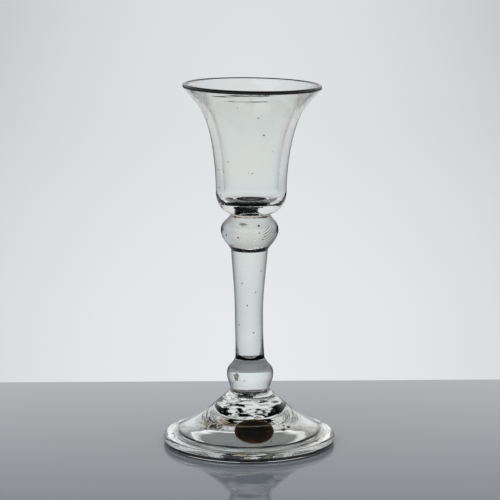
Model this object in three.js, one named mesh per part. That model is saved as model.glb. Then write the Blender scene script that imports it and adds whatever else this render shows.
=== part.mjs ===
// A small stemmed gin glass: bell bowl, two knops and a high conical foot with a folded edge.
// Millimetres, +Z up. The origin is the centre of the ring that the foot rests on.

import * as THREE from 'three';

// Heights, each measured up from the fused joint below it
const footHeight = 20;
const lowerKnopHeight = 12;
const stemLength = 41;
const upperKnopHeight = 13.4;
const bowlHeight = 47.6;

// Radii of the fused joints
const footJointRadius = 7.2;
const stemFootRadius = 5.45;
const stemHeadRadius = 6.8;
const bowlJointRadius = 6.9;

// Knops and stem
const lowerKnopRadius = 8.62;
const lowerKnopBelly = 5.6;
const upperKnopRadius = 10.64;
const upperKnopBelly = 7.1;
const stemWaistRadius = 5.2;
const stemWaistHeight = 16.5;

// Bowl, outside
const wellRadius = 13.02;
const wellHeight = 8.3;
const flareRadius = 15.14;
const flareHeight = 28.1;
const rimRadius = 25.44;
const flareAngle = 77;
const rimAngle = 53;

// Bowl, inside: the wall thins from the well to the rounded lip
const wellWall = 2.9;
const lipThickness = 1.65;
const wallTaper = 2.2;
const bowlFloorThickness = 4.6;
const floorCorner = 3.4;

// Foot: a cone of sheet glass, its edge rolled and folded under
const footRadius = 32;
const edgeRoll = 1.87;
const coneTopAngle = 45;
const coneEdgeAngle = 16;
const sheetThickness = 1.75;
const padRadius = 10.8;
const padHeight = 9.6;
const padFillet = 5;

// Fold under the foot, and the ring worn flat that the glass stands on
const foldWidth = 6.7;
const foldThickness = 1.7;
const wearRingWidth = 1.7;
const edgeUndercut = 1.1;
const creviceDepth = 2.4;
const creviceGap = 0.35;

// Broken-off stub that the finishing iron left under the foot
const scarRadius = 10.3;
const scarDepth = 1.5;
const scarRoughness = 0.3;

// Oval label on the front of the cone
const labelWidth = 15.1;
const labelLength = 12.6;
const labelThickness = 0.3;
const labelClearance = 0.3;
const labelFromEdge = 11.9;
const labelBearing = -84.2;

// Lean of the hand-made glass: sideways drift of the axis at five levels, and the tilt of the rim
const kneeDrift = 0.4;
const lowerKnopDrift = 0.45;
const upperKnopDrift = 0.25;
const bowlBaseDrift = 0.8;
const rimDrift = 1.25;
const rimTilt = 1;

// Facets round the axis, and steps along each stretch of outline
const roundSteps = 48;
const curveSteps = 6;

// Levels of the joints above the resting plane
const kneeLevel = footHeight;
const stemFootLevel = kneeLevel + lowerKnopHeight;
const stemHeadLevel = stemFootLevel + stemLength;
const bowlLevel = stemHeadLevel + upperKnopHeight;
const rimLevel = bowlLevel + bowlHeight;

const point = (r, z) => new THREE.Vector2(r, z);
const radians = THREE.MathUtils.degToRad;
const mix = THREE.MathUtils.lerp;

// Unit step in the section at an angle above the outward direction
function heading(degrees) {
  return point(Math.cos(radians(degrees)), Math.sin(radians(degrees)));
}

// One stretch of outline: a cubic curve that leaves and arrives at the given angles.
// The pulls are the lengths of its handles as shares of the straight distance.
function stretch(from, leaveAngle, to, arriveAngle, leavePull = 1 / 3, arrivePull = 1 / 3) {
  const reach = from.distanceTo(to);
  const leave = heading(leaveAngle).multiplyScalar(reach * leavePull).add(from);
  const arrive = heading(arriveAngle).multiplyScalar(-reach * arrivePull).add(to);
  return new THREE.CubicBezierCurve(from, leave, arrive, to);
}

// Points of an arc or quarter ellipse about a centre
function arc(centre, radiusR, radiusZ, fromAngle, toAngle, steps) {
  const points = [];
  for (let i = 0; i <= steps; i += 1) {
    const angle = radians(mix(fromAngle, toAngle, i / steps));
    points.push(point(centre.x + radiusR * Math.cos(angle), centre.y + radiusZ * Math.sin(angle)));
  }
  return points;
}

// Joins outline stretches and drops the points that two of them share
function outline(...parts) {
  const points = [];
  for (const next of parts.flat()) {
    const last = points[points.length - 1];
    if (!last || last.distanceTo(next) > 0.01) points.push(next);
  }
  return points;
}

// Height of a falling curve at a radius
function heightAt(curvePoints, radius) {
  const i = Math.max(1, curvePoints.findIndex((p) => p.x >= radius));
  const [a, b] = [curvePoints[i - 1], curvePoints[i]];
  return mix(a.y, b.y, (radius - a.x) / (b.x - a.x));
}

// Sideways drift of the axis at a level: flat at each station, with a smooth step between them
const driftStations = [
  [0, 0],
  [kneeLevel, kneeDrift],
  [kneeLevel + lowerKnopBelly, lowerKnopDrift],
  [stemFootLevel + stemWaistHeight, 0],
  [stemHeadLevel + upperKnopBelly, upperKnopDrift],
  [bowlLevel + bowlFloorThickness, bowlBaseDrift],
  [rimLevel, rimDrift],
];

function driftAt(z) {
  let drift = 0;
  for (let i = 1; i < driftStations.length; i += 1) {
    const [[lowZ, lowDrift], [highZ, highDrift]] = [driftStations[i - 1], driftStations[i]];
    drift += (highDrift - lowDrift) * THREE.MathUtils.smoothstep(z, lowZ, highZ);
  }
  return drift;
}

// Moves every point of a piece by the drift at its level, and tilts the bowl towards its rim.
// Fused pieces share a level, so their joint faces move alike.
function lean(geometry) {
  const place = geometry.attributes.position;
  for (let i = 0; i < place.count; i += 1) {
    const z = place.getZ(i);
    const share = THREE.MathUtils.clamp((z - bowlLevel) / bowlHeight, 0, 1);
    place.setZ(i, z - place.getX(i) * Math.tan(radians(rimTilt)) * share * share);
    place.setX(i, place.getX(i) + driftAt(z));
  }
  return geometry;
}

// Turns an outline about the axis. Outlines run anticlockwise in the section, so faces point out.
function turn(points) {
  return new THREE.LatheGeometry(points, roundSteps).rotateX(Math.PI / 2);
}

function glassMaterial(color, roughness = 0.04) {
  return new THREE.MeshStandardMaterial({
    color, roughness, metalness: 0, transparent: true, opacity: 0.35,
  });
}

const glassBody = new THREE.Group();

function addPiece(name, geometry, material) {
  const mesh = new THREE.Mesh(lean(geometry), material);
  mesh.name = name;
  glassBody.add(mesh);
}

// Bowl: the outer bell, the rounded lip, and an inner wall set off from the bell
const lipRadius = lipThickness / 2;
const lipCentre = point(rimRadius - lipRadius, rimLevel - lipRadius);
const bellEnd = heading(rimAngle - 90).multiplyScalar(lipRadius).add(lipCentre);
const wellPoint = point(wellRadius, bowlLevel + wellHeight);
const flarePoint = point(flareRadius, bowlLevel + flareHeight);
const bellCurves = [
  stretch(wellPoint, 90, flarePoint, flareAngle, 0.34, 0.25),
  stretch(flarePoint, flareAngle, bellEnd, rimAngle, 0.6, 0.36),
];

// Inner wall, from the lip down: each outer point moved square to the bell by the wall there
function innerWall() {
  const points = [];
  const steps = curveSteps + 1;
  for (const curve of [...bellCurves].reverse()) {
    for (let i = steps; i >= 0; i -= 1) {
      const outer = curve.getPoint(i / steps);
      const along = curve.getTangent(i / steps);
      const rise = (outer.y - wellPoint.y) / (bellEnd.y - wellPoint.y);
      const wall = mix(wellWall, lipThickness, rise ** wallTaper);
      points.push(point(outer.x - along.y * wall, outer.y + along.x * wall));
    }
  }
  return points;
}

function bowlOutline() {
  const base = stretch(point(bowlJointRadius, bowlLevel), 6, wellPoint, 90, 0.46, 0.28);
  const inner = innerWall();
  const wallFoot = inner[inner.length - 1];
  const floorLevel = bowlLevel + bowlFloorThickness;
  const floorEdge = point(wallFoot.x - floorCorner, floorLevel);
  return outline(
    [point(0, bowlLevel)],
    base.getPoints(curveSteps + 2),
    bellCurves[0].getPoints(curveSteps),
    bellCurves[1].getPoints(curveSteps + 2),
    arc(lipCentre, lipRadius, lipRadius, rimAngle - 90, rimAngle + 90, 6),
    inner,
    stretch(wallFoot, -90, floorEdge, 180, 0.4, 0.4).getPoints(curveSteps),
    [point(0, floorLevel)],
  );
}

// Solid piece between two joints, bulging or waisted at a level between them
function solidOutline(bottom, bottomAngle, middle, top, topAngle, pulls) {
  const lower = stretch(bottom, bottomAngle, middle, 90, pulls[0], pulls[1]);
  const upper = stretch(middle, 90, top, topAngle, pulls[2], pulls[3]);
  return outline(
    [point(0, bottom.y)],
    lower.getPoints(curveSteps),
    upper.getPoints(curveSteps),
    [point(0, top.y)],
  );
}

const stemFoot = point(stemFootRadius, stemFootLevel);
const stemHead = point(stemHeadRadius, stemHeadLevel);

function upperKnopOutline() {
  const belly = point(upperKnopRadius, stemHeadLevel + upperKnopBelly);
  const top = point(bowlJointRadius, bowlLevel);
  return solidOutline(stemHead, 57, belly, top, 121, [0.35, 0.34, 0.44, 0.48]);
}

function stemOutline() {
  const waist = point(stemWaistRadius, stemFootLevel + stemWaistHeight);
  return solidOutline(stemFoot, 94, waist, stemHead, 86, [0.32, 0.32, 0.33, 0.34]);
}

function lowerKnopOutline() {
  const belly = point(lowerKnopRadius, kneeLevel + lowerKnopBelly);
  const bottom = point(footJointRadius, kneeLevel);
  return solidOutline(bottom, 85, belly, stemFoot, 115, [0.36, 0.32, 0.52, 0.52]);
}

// Foot: the top curve of the cone ends on the rolled edge
const rollCentre = point(footRadius - edgeRoll, edgeRoll);
const widestPoint = point(footRadius, edgeRoll);
const coneEnd = heading(90 - coneEdgeAngle).multiplyScalar(edgeRoll).add(rollCentre);
const coneTop = point(footJointRadius, footHeight);
const cone = stretch(coneTop, -coneTopAngle, coneEnd, -coneEdgeAngle, 0.6, 0.14);
const conePoints = cone.getPoints(2 * curveSteps);

// Seam between the sheet and its fold: straight in section, from the widest line to the lip
const lipReach = footRadius - foldWidth;
const sheetDrop = sheetThickness / Math.cos(radians(coneEdgeAngle));
const seamEnd = point(lipReach, heightAt(conePoints, lipReach) - sheetDrop);

function seamAt(radius) {
  return mix(seamEnd.y, widestPoint.y, (radius - seamEnd.x) / (widestPoint.x - seamEnd.x));
}

const fusedReach = lipReach + creviceDepth;
const fusedPoint = point(fusedReach, seamAt(fusedReach));
const seamAngle = THREE.MathUtils.radToDeg(Math.atan2(seamEnd.y - widestPoint.y, foldWidth));

function footOutline() {
  const pad = point(padRadius, padHeight);
  const under = stretch(seamEnd, 180 - seamAngle, pad, 180, 0.35, padFillet / (lipReach - padRadius));
  return outline(
    [point(0, padHeight)],
    under.getPoints(curveSteps + 2).reverse(),
    [fusedPoint, widestPoint],
    arc(rollCentre, edgeRoll, edgeRoll, 0, 90 - coneEdgeAngle, 4),
    [...conePoints].reverse(),
    [point(0, footHeight)],
  );
}

// Fold: worn ring, undercut edge, fused seam, open crevice and a rounded lip
function foldOutline() {
  const wearOuter = footRadius - edgeUndercut;
  const wearInner = wearOuter - wearRingWidth;
  const lipTurn = foldThickness / 2;
  const lipMiddle = point(lipReach + lipTurn, seamAt(lipReach + lipTurn) - creviceGap - lipTurn);
  const lipStart = 90 + seamAngle;
  const ring = outline(
    [point(wearInner, 0)],
    arc(point(wearOuter, edgeRoll), edgeUndercut, edgeRoll, -90, 0, 4),
    [fusedPoint],
    arc(lipMiddle, lipTurn, lipTurn, 90 - seamAngle, 180 + lipStart, 6),
  );
  return [...ring, ring[0].clone()];
}

// Scar: a short stub with a ragged rim and a hollow broken middle
function scarGeometry() {
  const bottom = padHeight - scarDepth;
  const geometry = turn(outline(
    [point(0, bottom + scarDepth * 0.45)],
    [point(scarRadius * 0.3, bottom + scarDepth * 0.3)],
    [point(scarRadius * 0.55, bottom + scarRoughness)],
    [point(scarRadius * 0.85, bottom + scarRoughness)],
    [point(scarRadius * 0.98, bottom + scarDepth * 0.5)],
    [point(scarRadius, padHeight)],
    [point(0, padHeight)],
  ));
  const place = geometry.attributes.position;
  for (let i = 0; i < place.count; i += 1) {
    const [x, y, z] = [place.getX(i), place.getY(i), place.getZ(i)];
    const bearing = Math.atan2(y, x);
    const depth = (padHeight - z) / scarDepth;
    const offAxis = Math.hypot(x, y) / scarRadius;
    const chips = Math.sin(5 * bearing + 1) * Math.cos(3 * bearing) + 0.5 * Math.sin(11 * bearing);
    place.setZ(i, z + scarRoughness * 0.6 * chips * depth * offAxis);
  }
  return geometry;
}

// Label: an oval laid on the cone. It is spaced in millimetres along the slope and round it.
function labelGeometry() {
  const rings = 5;
  const ringSteps = 32;
  const lengths = cone.getLengths(200);
  const total = lengths[lengths.length - 1];
  const centreIndex = lengths.findIndex((_, i) => cone.getPoint(i / 200).x >= footRadius - labelFromEdge);
  const vertices = [];
  const index = [];
  const sides = [labelClearance + labelThickness, labelClearance];

  function place(share, angle, off) {
    const down = lengths[centreIndex] - (labelLength / 2) * share * Math.sin(angle);
    const on = cone.getPointAt(down / total);
    const along = cone.getTangentAt(down / total);
    const across = (labelWidth / 2) * share * Math.cos(angle);
    const bearing = radians(labelBearing) + across / on.x;
    const r = on.x - along.y * off;
    const z = on.y + along.x * off;
    vertices.push(r * Math.cos(bearing), r * Math.sin(bearing), z);
  }

  for (const off of sides) {
    place(0, 0, off);
    for (let ring = 1; ring <= rings; ring += 1) {
      for (let i = 0; i < ringSteps; i += 1) place(ring / rings, (2 * Math.PI * i) / ringSteps, off);
    }
  }

  const sideCount = 1 + rings * ringSteps;
  const at = (side, ring, i) => side * sideCount + 1 + (ring - 1) * ringSteps + (i % ringSteps);

  function addTriangle(side, a, b, c) {
    if (side === 0) index.push(a, b, c);
    else index.push(a, c, b);
  }

  for (let side = 0; side < 2; side += 1) {
    for (let i = 0; i < ringSteps; i += 1) {
      addTriangle(side, side * sideCount, at(side, 1, i), at(side, 1, i + 1));
      for (let ring = 1; ring < rings; ring += 1) {
        addTriangle(side, at(side, ring, i), at(side, ring + 1, i), at(side, ring + 1, i + 1));
        addTriangle(side, at(side, ring, i), at(side, ring + 1, i + 1), at(side, ring, i + 1));
      }
    }
  }
  for (let i = 0; i < ringSteps; i += 1) {
    addTriangle(0, at(0, rings, i), at(1, rings, i), at(1, rings, i + 1));
    addTriangle(0, at(0, rings, i), at(1, rings, i + 1), at(0, rings, i + 1));
  }

  const geometry = new THREE.BufferGeometry();
  geometry.setAttribute('position', new THREE.Float32BufferAttribute(vertices, 3));
  geometry.setIndex(index);
  return geometry;
}

addPiece('bowl', turn(bowlOutline()), glassMaterial(0xdde3e1));
addPiece('upper_knop', turn(upperKnopOutline()), glassMaterial(0xd3dad8));
addPiece('stem', turn(stemOutline()), glassMaterial(0xd3dad9));
addPiece('lower_knop', turn(lowerKnopOutline()), glassMaterial(0xd0d8d9));
addPiece('foot', turn(footOutline()), glassMaterial(0xd9dddb));
addPiece('foot_fold', turn(foldOutline()), glassMaterial(0xd9dddb));
addPiece('pontil_scar', scarGeometry(), glassMaterial(0xcfd1cc, 0.6));
addPiece('oval_label', labelGeometry(), new THREE.MeshStandardMaterial({
  color: 0x4a3417, roughness: 0.45, metalness: 0.3,
}));

export default glassBody;
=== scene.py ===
"""A hand-made gin glass: bell bowl, knopped stem, high conical foot with a folded edge, small oval label."""

import bpy
import numpy as np
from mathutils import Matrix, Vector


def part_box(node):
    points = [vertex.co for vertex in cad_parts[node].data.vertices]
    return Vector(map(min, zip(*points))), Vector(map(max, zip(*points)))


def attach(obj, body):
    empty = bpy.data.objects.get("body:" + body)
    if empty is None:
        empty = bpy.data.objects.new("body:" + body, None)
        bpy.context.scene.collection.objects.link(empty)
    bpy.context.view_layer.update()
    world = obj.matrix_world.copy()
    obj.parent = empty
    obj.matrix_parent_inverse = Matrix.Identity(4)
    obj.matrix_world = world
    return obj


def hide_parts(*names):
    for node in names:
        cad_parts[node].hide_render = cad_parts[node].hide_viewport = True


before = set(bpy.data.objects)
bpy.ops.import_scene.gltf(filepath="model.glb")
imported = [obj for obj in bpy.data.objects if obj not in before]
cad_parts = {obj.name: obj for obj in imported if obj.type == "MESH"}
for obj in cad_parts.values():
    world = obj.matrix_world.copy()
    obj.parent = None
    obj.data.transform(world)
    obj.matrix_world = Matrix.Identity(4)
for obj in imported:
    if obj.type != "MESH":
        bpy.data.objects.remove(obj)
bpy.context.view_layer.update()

MM = 0.001

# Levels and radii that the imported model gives, in metres
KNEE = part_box("foot")[1].z
STEM_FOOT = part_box("stem")[0].z
STEM_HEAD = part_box("stem")[1].z
BOWL_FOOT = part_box("bowl")[0].z
PAD_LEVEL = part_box("pontil_scar")[1].z
SEAM_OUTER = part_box("foot")[0].z
FOOT_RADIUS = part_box("foot")[1].y
LOWER_KNOP_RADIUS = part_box("lower_knop")[1].y
UPPER_KNOP_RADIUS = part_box("upper_knop")[1].y
STEM_HEAD_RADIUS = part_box("stem")[1].y
RIM_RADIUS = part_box("bowl")[1].y
SCAR_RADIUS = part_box("pontil_scar")[1].y

# Sizes of the glass that its boxes don't give
BOWL_HEIGHT = 47.6 * MM
FOOT_JOINT_RADIUS = 7.2 * MM
STEM_FOOT_RADIUS = 5.45 * MM
STEM_WAIST_RADIUS = 5.2 * MM
STEM_WAIST_HEIGHT = 16.5 * MM
BOWL_JOINT_RADIUS = 6.9 * MM
LOWER_KNOP_BELLY = 5.6 * MM
UPPER_KNOP_BELLY = 7.1 * MM
WELL_RADIUS = 13.02 * MM
WELL_HEIGHT = 8.3 * MM
FLARE_RADIUS = 15.14 * MM
FLARE_HEIGHT = 28.1 * MM
WELL_WALL = 2.9 * MM
LIP_THICKNESS = 1.65 * MM
FLOOR_THICKNESS = 4.6 * MM
FLOOR_CORNER = 3.4 * MM
FLOOR_HUMP = 0.45 * MM
HUMP_REACH = 2.4 * MM
PAD_RADIUS = 10.8 * MM
PAD_EASE = 5 * MM
SHEET_THICKNESS = 1.75 * MM
FOLD_WIDTH = 6.7 * MM
FOLD_THICKNESS = 1.7 * MM
WEAR_RING_WIDTH = 1.7 * MM
EDGE_UNDERCUT = 1.1 * MM
CREVICE_DEPTH = 2.4 * MM
CREVICE_GAP = 0.35 * MM
BASE_ANGLE = 6
FLARE_ANGLE = 77
RIM_ANGLE = 53
CONE_TOP_ANGLE = 45
CONE_EDGE_ANGLE = 16
WALL_TAPER = 2.2
ROUND_STEPS = 192

# Lean of the glass: level and sideways drift of its axis there, and the tilt of its rim
RIM_LEVEL = BOWL_FOOT + BOWL_HEIGHT
DRIFT = [
    (0, 0),
    (KNEE, 0.4 * MM),
    (KNEE + LOWER_KNOP_BELLY, 0.45 * MM),
    (STEM_FOOT + STEM_WAIST_HEIGHT, 0.0),
    (STEM_HEAD + UPPER_KNOP_BELLY, 0.25 * MM),
    (BOWL_FOOT + FLOOR_THICKNESS, 0.8 * MM),
    (RIM_LEVEL, 1.25 * MM),
]
RIM_TILT = np.radians(1.0)

# Label
LABEL_WIDTH = 14.8 * MM
LABEL_LENGTH = 11.8 * MM
LABEL_THICKNESS = 0.16 * MM
LABEL_FROM_EDGE = 11.6 * MM
LABEL_BEARING = np.radians(-84.2)
LABEL_CLEARANCE = 0.03 * MM
CREASE_AT = 0.42
CREASE_WIDTH = 0.05
CREASE_HEIGHT = 0.10 * MM
CREASE_HIGHLIGHT_WIDTH = 0.075
CREASE_BEND = 0.16

# Outer ends of the fused joints, which are straight lines from the axis in the section
FOOT_END = (FOOT_JOINT_RADIUS, KNEE)
STEM_FOOT_END = (STEM_FOOT_RADIUS, STEM_FOOT)
STEM_HEAD_END = (STEM_HEAD_RADIUS, STEM_HEAD)
BOWL_END = (BOWL_JOINT_RADIUS, BOWL_FOOT)
SCAR_END = (SCAR_RADIUS, PAD_LEVEL)
SAME_POINT = 1e-6

# Waves of the unevenness: share of the radius, waves round the axis, turn per metre of height, start
UNEVEN_WAVES = [(0.0035, 2, 40, 0.6), (0.0022, 3, -75, 2.1), (0.0010, 7, 160, 0)]

# Numbers of the materials that a section's strips take. Each piece lists its own in this order
PLAIN, JOINT, LINE = range(3)
INNER, CORNER, FLOOR, BASE, ARCH = range(3, 8)
MOUTH, CREVICE = 3, 4

# Finishes of the bowl's floor, which carry its painted shade: rings by radius, and levels above the floor or
# the bowl's foot
CORNER_RING = (5.2 * MM, 11.0 * MM)
CORNER_RISE = (0.02 * MM, 1.0 * MM)
FLOOR_RING = 6.0 * MM
FLOOR_DROP = 0.1 * MM
ARCH_RING = (3.0 * MM, 3.2 * MM)
BASE_RISE = 7 * MM

# Ridges in the foot's hollow
HOLLOW_DROP = 0.6 * MM
RIDGE_PITCH = 2.9 * MM
RIDGE_HEIGHT = 0.008 * MM
SWELL_HEIGHT = 0.02 * MM
RIDGES_FROM = 1.08 * SCAR_RADIUS

# Chips of the scar, its raised ring as shares of its radius, and how much of its side is broken off
SCALLOPS = 44
SCALLOP_SEED = 11
SCALLOP_SPREAD = (1.6 * MM, 3.4 * MM)
SCAR_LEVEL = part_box("pontil_scar")[0].z
SCAR_RING = 0.82
SCAR_RING_WIDTH = 0.14
SIDE_LOSS = 0.09

# Glass: its index, how near to whole a trapped reflection is, the fineness of its cords, depths of cords
# and swell, and the slants of a low angle and of edge on
GLASS_INDEX = 1.5
WHOLE = 0.999
CORD_SCALE = 900.0
STRONG_RIPPLE = (0.02 * MM, 0.10 * MM)
FAINT_RIPPLE = (0.01 * MM, 0.05 * MM)
SHEET_RIPPLE = (0.01 * MM, 0.03 * MM)
LOW_ANGLE = (0.45, 0.70)
EDGE_ON = (0.5, 0.85)

# Tints of the glass and its dirt
THIN_TINT = (0.925, 0.928, 0.918)
KNOP_TINT = (0.76, 0.79, 0.775)
STEM_TINT = (0.81, 0.84, 0.845)
LOW_KNOP_TINT = (0.90, 0.925, 0.925)
FOOT_TINT = (0.955, 0.965, 0.96)
FOLD_TINT = (0.99, 0.995, 0.99)
# Grey, the painted shade inside the fold's crevice
PAINTED_CREVICE_SHADE = (0.46, 0.47, 0.48)
# Dark tint of the bubbles, their painted shade
SEED_TINT = (0.10,) * 3
# Near black, the painted shade of dark lines at the rim, the foot's edge, below the rim and at the stem head
PAINTED_LINE_SHADE = (0.0008,) * 3
# Near black, the painted shade at the crevice's mouth
PAINTED_MOUTH_SHADE = (0.0015,) * 3
SWIRL_TINT = (0.03, 0.035, 0.04)
GRIME = (0.03, 0.025, 0.02)
# Near black, for specks and for the painted shade below the knee
NEAR_BLACK = (0.003,) * 3
LABEL_SHADES = [(0.46, (0.0025, 0.0016, 0.0012)), (0.58, (0.012, 0.006, 0.002)), (0.74, (0.075, 0.04, 0.007))]
# Pale shade of the painted highlight along the label's crease
CREASE_HIGHLIGHT_SHADE = (0.21, 0.16, 0.14)

# Fades of the tint, a painted shade that darkens the glass towards its edges: pairs of slant, 0 square on and
# 1 edge on, and the share of the tint left there
EVEN = [(0, 1), (1, 1)]
BELL_FADE = [(0, 1), (0.65, 0.98), (0.78, 0.90), (0.87, 0.6), (0.95, 0.22), (1, 0.07)]
WALL_FADE = [(0, 1), (0.32, 0.97), (0.45, 0.86), (0.6, 0.66), (0.76, 0.36), (0.9, 0.14), (1, 0.04)]
FLOOR_FADE = [(0, 1), (0.5, 0.9), (0.68, 0.3), (0.77, 0.01), (0.83, 0.0005), (1, 0.0005)]
BASE_FADE = [(0, 1), (0.6, 0.98), (0.8, 0.9), (0.92, 0.6), (1, 0.2)]
KNOP_FADE = [(0, 1), (0.13, 0.90), (0.29, 0.76), (0.46, 0.50), (0.58, 0.2), (0.68, 0.05), (0.9, 0.005)]
SOLID_FADE = [(0, 1), (0.13, 0.88), (0.29, 0.71), (0.46, 0.43), (0.58, 0.2), (0.72, 0.08), (0.9, 0.01)]
SHEET_FADE = [(0, 1), (0.8, 0.98), (0.92, 0.82), (0.98, 0.4), (1, 0.1)]

# Levels between which the flare eases, and what it leaves of its slant, its losses and its body, so that less
# painted edge shade falls on the flare
FLARE_EASE = (RIM_LEVEL - 24 * MM, RIM_LEVEL - 6 * MM, 0.80, 0.05, 0.25)

# Levels and places of dirt and of painted shade, in millimetres
RIM_AT = RIM_LEVEL / MM
BOWL_AT = BOWL_FOOT / MM
FLOOR_AT = (BOWL_FOOT + FLOOR_THICKNESS) / MM
KNEE_AT = KNEE / MM
WAIST = (0, 0, STEM_HEAD / MM)
KNEE_GROOVE = (0, 0, KNEE_AT + 0.1)

# Camera, stage and light, in metres
CAMERA_PLACE = (0.0004, -0.754, 0.211)
CAMERA_PITCH = np.radians(90 - 10.4)
CAMERA_LENS = 149.6
SLAB_BACK = 0.092
SLAB_FRONT = 0.122
SLAB_SKEW = 0.003
SLAB_HALF_WIDTH = 0.125
SLAB_THICKNESS = 0.006
SLAB_DROP = 0.02 * MM
GLOW_REACH = 40 * MM
LAMP_PLACE = (-0.5, -0.9, 1.5)
LAMP_TURN = (35, 0, -29)
LAMP_SIZE = 1.2
LAMP_POWER = 6.0

# Shades of the slab at its front and back edges, a painted falloff of the light from behind, and as glass
# shows it beyond the foot and under it, painted light that is paler under the foot
SLAB_FRONT_SHADE = (0.095, 0.11, 0.135)
SLAB_BACK_SHADE = (0.35, 0.37, 0.40)
THROUGH_SHADE = (0.22, 0.23, 0.235)
UNDER_FOOT_SHADE = (0.27, 0.28, 0.28)

# Painted glow under the foot, for the light that the foot gathers: pairs of share of its reach and level
GLOW_STOPS = [(0, 0.04), (0.5, 0.04), (0.675, 0.88), (0.9, 0.9), (1, 0.9)]

# Backdrop by kind of ray: pairs of degrees above the level and grey or colour
MATT_LEVEL = 0.8
BACKDROP = [
    (-90, 0.35), (-40, 0.5), (-20, (0.80, 0.83, 0.84)), (-12, (0.79, 0.82, 0.83)),
    (-7, (0.74, 0.76, 0.77)), (-4, (0.74, 0.745, 0.76)), (0, (0.72, 0.73, 0.74)), (90, 0.5),
]
THROUGH_SKY = [
    (-90, 0.2), (-45, 0.45), (-30, 0.80), (-14.5, (0.84, 0.865, 0.87)), (-13, (0.86, 0.885, 0.89)),
    (-12, (0.79, 0.82, 0.83)), (-8, (0.79, 0.82, 0.83)), (-5, (0.86, 0.87, 0.865)), (0, 0.84),
    (20, 0.80), (42, 0.80), (60, 0.75), (90, 0.6),
]
GLOSS_SKY = [
    (-90, 0.1), (-35, 0.3), (-16, 0.5), (-13, 0.4), (-11.4, 0.04), (-2, 0.03), (4, 0.78), (24, 0.74),
    (40, 0.05), (90, 0.03),
]

# Falloff of the backdrop to both sides: its factors at two heights in degrees, and the least it leaves
FALL_HEIGHTS = (-9, -4)
FALL_FACTORS = (8.0, 15.0)
LEAST_FALLOFF = 0.8


def heading(degrees):
    """Unit step in the section at an angle above the outward direction."""
    return np.array([np.cos(np.radians(degrees)), np.sin(np.radians(degrees))])


def stretch(start, leave, end, arrive, pulls=(1 / 3, 1 / 3), count=24):
    """A cubic curve in the section: handles point along the end angles, as long as pulls times the chord."""
    start, end = np.array(start), np.array(end)
    reach = np.linalg.norm(end - start)
    first = start + heading(leave) * reach * pulls[0]
    second = end - heading(arrive) * reach * pulls[1]
    t = np.linspace(0, 1, count)[:, None]
    return (1 - t) ** 3 * start + 3 * (1 - t) ** 2 * t * first + 3 * (1 - t) * t**2 * second + t**3 * end


def arc(centre, radii, start, end, count):
    """Arc of an ellipse: centre plus radii times cosine and sine of the angle."""
    angle = np.radians(np.linspace(start, end, count))
    return np.stack([centre[0] + radii[0] * np.cos(angle), centre[1] + radii[1] * np.sin(angle)], axis=1)


def lined(*parts):
    """Outline stretches in a row, each with its finish's number: the points, and the finish of each strip.

    A point that two stretches share is kept once. A strip runs from its point to the next one.
    """
    points = np.concatenate([np.atleast_2d(part) for part, _ in parts])
    finish = np.concatenate([np.full(len(np.atleast_2d(part)), number) for part, number in parts])
    new = np.concatenate([[True], np.linalg.norm(np.diff(points, axis=0), axis=1) > SAME_POINT])
    return points[new], np.roll(finish[new], -1)


def joined(*parts):
    """Outline stretches in a row, with each shared point once."""
    return lined(*[(part, 0) for part in parts])[0]


def drift_at(z):
    """Sideways drift of the axis: a smooth step, 3 t squared less 2 t cubed, from station to station."""
    total = np.zeros_like(z)
    for (low, low_drift), (high, high_drift) in zip(DRIFT[:-1], DRIFT[1:]):
        t = np.clip((z - low) / (high - low), 0, 1)
        total += (high_drift - low_drift) * t * t * (3 - 2 * t)
    return total


def hand_made(x, y, z):
    """Leans the glass: x gains the drift at its level, z falls with x towards the rim by the tilt."""
    share = np.clip((z - BOWL_FOOT) / BOWL_HEIGHT, 0, 1)
    return np.stack([x + drift_at(z), y, z - x * np.tan(RIM_TILT) * share**2], axis=-1)


def unevenness(bearing, z):
    """Radius factor of free-hand work: one plus three slow waves round the axis that turn with height."""
    factor = 1
    for share, count, turn, start in UNEVEN_WAVES:
        factor = factor + share * np.sin(count * bearing + turn * z + start)
    return factor


def ring_faces(rows, steps, closed=False):
    """Faces of rows of points that run round the axis.

    In a closed grid the last row joins the first. Else a fan of triangles closes each end, to the two
    points after the grid.
    """
    row, step = np.meshgrid(np.arange(rows if closed else rows - 1), np.arange(steps), indexing="ij")
    beside, above = (step + 1) % steps, (row + 1) % rows
    corners = (row, step), (row, beside), (above, beside), (above, step)
    quads = np.stack([r * steps + s for r, s in corners], axis=-1).reshape(-1, 4).tolist()
    if closed:
        return quads
    hub, last = rows * steps, (rows - 1) * steps
    ring = [(i, (i + 1) % steps) for i in range(steps)]
    return quads + [[hub, j, i] for i, j in ring] + [[hub + 1, last + i, last + j] for i, j in ring]


def bubble(centre, radii, rows=7, steps=12):
    """Ellipsoid cavity about its centre: the unit sphere times radii, its faces turned inwards."""
    fall = np.linspace(0, np.pi, rows + 2)[1:-1, None]
    bearing = np.linspace(0, 2 * np.pi, steps, endpoint=False)[None, :]
    flat, up = np.sin(fall), np.cos(fall) + 0 * bearing
    sphere = np.stack([flat * np.cos(bearing), flat * np.sin(bearing), up], axis=-1)
    ends = np.array([[0, 0, 1.0], [0, 0, -1.0]])
    points = np.concatenate([sphere.reshape(-1, 3), ends]) * np.array(radii) + np.array(centre)
    return points, ring_faces(rows, steps)


def placed(name, data):
    """A new object in the scene, at the origin."""
    made = bpy.data.objects.new(name, data)
    bpy.context.collection.objects.link(made)
    return made


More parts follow.
